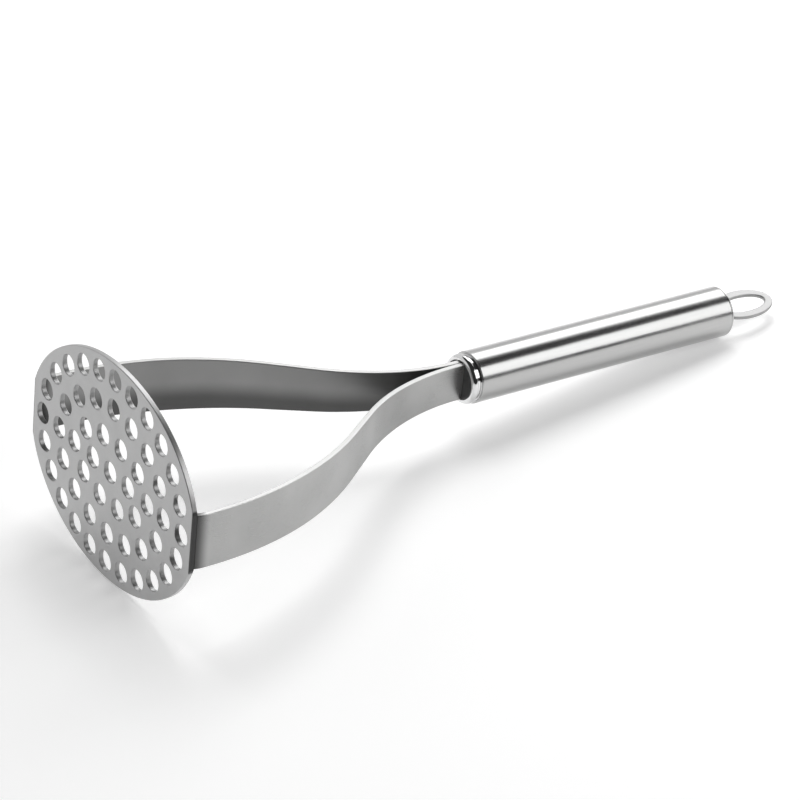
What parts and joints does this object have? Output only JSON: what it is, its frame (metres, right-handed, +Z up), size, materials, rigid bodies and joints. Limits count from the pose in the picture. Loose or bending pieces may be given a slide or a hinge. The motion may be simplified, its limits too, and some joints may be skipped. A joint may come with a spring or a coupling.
{
  "type": "potato masher",
  "caption": "Potato masher with an oval perforated steel plate on two curved straps that meet in a tubular handle with a hanging eye.",
  "frame": {"origin": "on the table, under the middle of the lying tool's bounding box", "axes": "+X from the perforated plate towards the hanging eye, level with the table (the handle itself slopes down 6.8 degrees towards the eye), +Y across the straps, +Z up from the table"},
  "size_m": [0.303, 0.1058, 0.084],
  "materials": {
    "satin_sheet_steel": "satin, finely brushed stainless sheet with bright bevels round the holes",
    "satin_strap_steel": "fine satin outside, duller mill finish on the faces between the straps",
    "polished_steel": "mirror polished",
    "dark_plug": "smooth dark plastic",
    "brushed_tube_steel": "fine lengthwise brushing",
    "satin_strip_steel": "satin with softened edges"
  },
  "bodies": {
    "root": {"masher_plate": "satin_sheet_steel", "strap_left": "satin_strap_steel", "strap_right": "satin_strap_steel", "front_ferrule": "polished_steel", "tang_plug": "dark_plug", "handle_tube": "brushed_tube_steel", "rear_cap": "brushed_tube_steel", "hanging_eye": "satin_strip_steel"}
  },
  "joints": []
}
